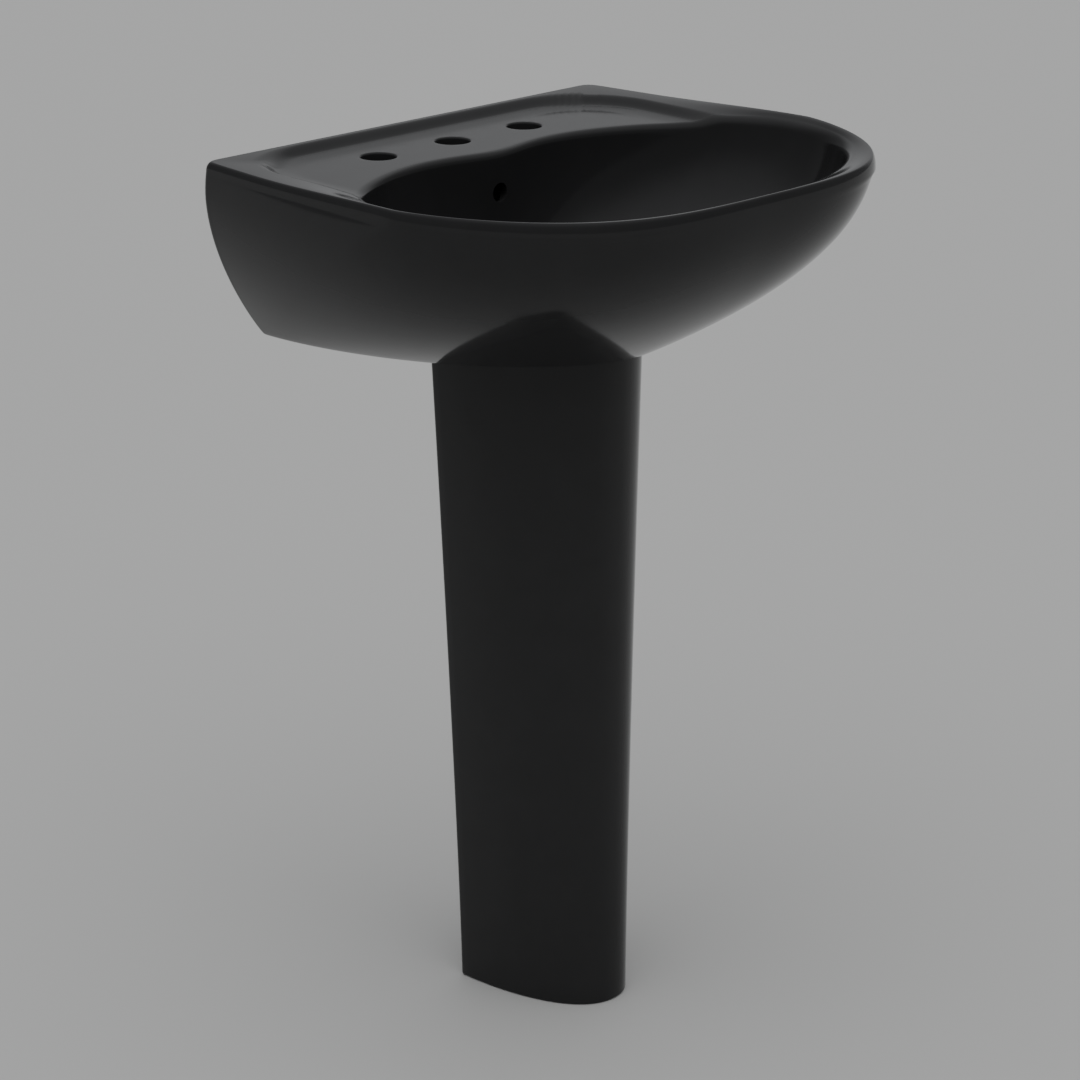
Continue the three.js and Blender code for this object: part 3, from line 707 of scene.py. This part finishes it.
def vary_colour(tree, shader, scale, low, high):
    """A base colour that drifts between two, by a noise with that many features to a metre."""
    made = tree.nodes.new("ShaderNodeMix")
    made.data_type = "RGBA"
    made.inputs["A"].default_value = (*low, 1)
    made.inputs["B"].default_value = (*high, 1)
    tree.links.new(spread(tree, noise(tree, scale, 6), 0, 1), made.inputs["Factor"])
    tree.links.new(made.outputs["Result"], shader.inputs["Base Color"])


def vary_roughness(tree, shader, scale, detail, low, high):
    tree.links.new(spread(tree, noise(tree, scale, detail), low, high), shader.inputs["Roughness"])


def bump(tree, value, distance, strength=1.0, below=None):
    """A bump of that height in metres, over another bump if one is given."""
    made = tree.nodes.new("ShaderNodeBump")
    made.inputs["Distance"].default_value = distance
    made.inputs["Strength"].default_value = strength
    tree.links.new(value, made.inputs["Height"])
    if below is not None:
        tree.links.new(below, made.inputs["Normal"])
    return made.outputs["Normal"]


def black_china():
    """Black glaze: a deep body under a clear gloss with a slow ripple and a fine orange peel."""
    made, shader = material("black_china", (0.025, 0.025, 0.0255), 0.1)
    tree = made.node_tree
    shader.inputs["IOR"].default_value = 1.31
    vary_colour(tree, shader, 30, (0.0238, 0.0238, 0.0243), (0.0258, 0.0258, 0.0264))
    vary_roughness(tree, shader, 55, 4, 0.08, 0.12)
    ripple = bump(tree, noise(tree, 9, 2), 0.0005, 0.3)
    tree.links.new(bump(tree, noise(tree, 260, 2), 0.00002, 0.3, ripple), shader.inputs["Normal"])
    return made


def chrome():
    made, shader = material("chrome", (0.78, 0.79, 0.81), 0.06, 1)
    tree = made.node_tree
    vary_roughness(tree, shader, 120, 5, 0.04, 0.12)
    tree.links.new(bump(tree, noise(tree, 500, 3), 0.00001, 0.2), shader.inputs["Normal"])
    return made


def brass():
    made, shader = material("brass", (0.62, 0.43, 0.17), 0.28, 1)
    tree = made.node_tree
    vary_colour(tree, shader, 70, (0.66, 0.46, 0.19), (0.47, 0.31, 0.12))
    vary_roughness(tree, shader, 180, 5, 0.2, 0.42)
    tree.links.new(bump(tree, noise(tree, 40, 2, (1, 1, 30)), 0.00005, 0.4), shader.inputs["Normal"])
    return made


def zinc_steel():
    made, shader = material("zinc_steel", (0.56, 0.57, 0.58), 0.35, 1)
    tree = made.node_tree
    vary_colour(tree, shader, 240, (0.62, 0.63, 0.64), (0.44, 0.45, 0.46))
    vary_roughness(tree, shader, 300, 5, 0.26, 0.48)
    tree.links.new(bump(tree, noise(tree, 700, 4), 0.00004, 0.4), shader.inputs["Normal"])
    return made


def black_rubber():
    made, shader = material("black_rubber", (0.03, 0.03, 0.03), 0.75)
    tree = made.node_tree
    vary_roughness(tree, shader, 150, 5, 0.62, 0.88)
    tree.links.new(bump(tree, noise(tree, 900, 4), 0.00006, 0.5), shader.inputs["Normal"])
    return made


def white_nylon():
    made, shader = material("white_nylon", (0.8, 0.79, 0.74), 0.45)
    tree = made.node_tree
    shader.inputs["Subsurface Weight"].default_value = 0.1
    shader.inputs["Subsurface Scale"].default_value = 0.002
    vary_roughness(tree, shader, 200, 4, 0.38, 0.56)
    tree.links.new(bump(tree, noise(tree, 600, 3), 0.00003, 0.4), shader.inputs["Normal"])
    return made


def pale_floor():
    made, shader = material("pale_floor", (0.60, 0.60, 0.59), 0.75)
    vary_roughness(made.node_tree, shader, 3, 6, 0.7, 0.8)
    return made


# ---------------------------------------------------------------- stage
def build_floor():
    mesh = bpy.data.meshes.new("floor")
    corners = [(x * FLOOR_HALF, y * FLOOR_HALF, 0) for x, y in ((-1, -1), (1, -1), (1, 1), (-1, 1))]
    mesh.from_pydata(corners, [], [(0, 1, 2, 3)])
    floor = new_object("floor", mesh)
    floor.data.materials.append(pale_floor())


def add_camera():
    data = bpy.data.cameras.new("camera")
    data.sensor_width = 36
    data.lens = CAMERA_LENS
    data.clip_end = 100
    camera = new_object("camera", data)
    azimuth, pitch = math.radians(CAMERA_AZIMUTH), math.radians(CAMERA_PITCH)
    along = math.cos(pitch)
    ahead = Vector((math.sin(azimuth) * along, math.cos(azimuth) * along, -math.sin(pitch)))
    camera.location = CAMERA_AT
    camera.rotation_euler = ahead.to_track_quat("-Z", "Y").to_euler()
    bpy.context.scene.camera = camera


def studio_glow(tree, toward, spread_from, strength):
    """A soft-edged glow in the world's light, round one direction."""
    where = tree.nodes.new("ShaderNodeTexCoord")
    facing = tree.nodes.new("ShaderNodeVectorMath")
    facing.operation = "DOT_PRODUCT"
    facing.inputs[1].default_value = Vector(toward).normalized()
    soft = tree.nodes.new("ShaderNodeMapRange")
    soft.interpolation_type = "SMOOTHSTEP"
    soft.inputs["From Min"].default_value = spread_from
    soft.inputs["From Max"].default_value = 1.0
    soft.inputs["To Max"].default_value = strength
    tree.links.new(where.outputs["Generated"], facing.inputs[0])
    tree.links.new(facing.outputs["Value"], soft.inputs["Value"])
    return soft.outputs["Result"]


def light_stage():
    """An even dim room with three soft glows, and a broad overhead lamp that the glaze doesn't mirror."""
    world = bpy.data.worlds.new("studio")
    world.use_nodes = True
    tree = world.node_tree
    brightness = None
    for toward, spread_from, strength in WORLD_GLOWS:
        total = tree.nodes.new("ShaderNodeMath")
        total.operation = "ADD"
        total.inputs[1].default_value = WORLD_LEVEL
        tree.links.new(studio_glow(tree, toward, spread_from, strength), total.inputs[0])
        if brightness is not None:
            tree.links.new(brightness, total.inputs[1])
        brightness = total.outputs["Value"]
    tree.links.new(brightness, tree.nodes["Background"].inputs["Strength"])
    tree.nodes["Background"].inputs["Color"].default_value = (*WORLD_TINT, 1)
    bpy.context.scene.world = world

    lamp = new_object("overhead", bpy.data.lights.new("overhead", "SUN"))
    lamp.data.energy = OVERHEAD_POWER
    lamp.data.angle = math.radians(OVERHEAD_SPREAD)
    lamp.rotation_euler = Vector(OVERHEAD_TOWARD).to_track_quat("-Z", "Y").to_euler()
    lamp.visible_glossy = False


# ---------------------------------------------------------------- assembly
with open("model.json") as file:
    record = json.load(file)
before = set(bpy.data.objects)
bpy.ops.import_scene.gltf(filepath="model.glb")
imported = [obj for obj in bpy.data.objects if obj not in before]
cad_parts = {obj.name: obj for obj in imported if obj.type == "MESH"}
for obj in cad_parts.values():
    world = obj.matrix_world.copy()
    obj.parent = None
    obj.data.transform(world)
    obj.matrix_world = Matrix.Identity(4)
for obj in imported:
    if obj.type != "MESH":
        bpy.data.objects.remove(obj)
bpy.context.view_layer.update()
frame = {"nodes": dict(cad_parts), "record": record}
add_camera()

FINISHES = {
    "black_china": black_china(),
    "chrome": chrome(),
    "brass": brass(),
    "steel": zinc_steel(),
    "rubber": black_rubber(),
    "nylon": white_nylon(),
}


def finished(piece, slot, node=None, body="sink"):
    """Gives a new piece its finish and its body, and hides the CAD node that it stands for."""
    piece.data.materials.clear()
    piece.data.materials.append(FINISHES[slot])
    if node:
        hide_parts(node)
    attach(piece, body)


def smooth_piece(piece):
    """Shades a turned piece, which has softer edges than the china."""
    shade(piece, 30)
    return piece


finished(build_basin(), "black_china", "basin")
finished(build_pedestal(), "black_china", "pedestal")
finished(build_foot_web(), "black_china")
finished(smooth_piece(build_flange()), "chrome", "drain_flange")
finished(smooth_piece(build_stopper()), "chrome", "stopper_cap", "stopper")
finished(smooth_piece(build_locknut()), "brass", "drain_locknut")
finished(smooth_piece(build_tailpiece()), "chrome", "tailpiece")
finished(smooth_piece(build_slip_nut("trap_inlet_nut_ring", DRAIN_Y)), "chrome", "trap_inlet_nut")
finished(smooth_piece(build_slip_nut("trap_outlet_nut_ring", BEND_BACK)), "chrome", "trap_outlet_nut")
finished(smooth_piece(build_trap_bend()), "chrome", "trap_bend")
finished(smooth_piece(build_trap_arm()), "chrome", "trap_arm")

for part in frame["record"]["subparts"]:
    node = frame["nodes"][part["node"]]
    if not node.hide_render:
        node.data.materials.clear()
        node.data.materials.append(FINISHES[part["material_slot"]])

build_floor()
light_stage()
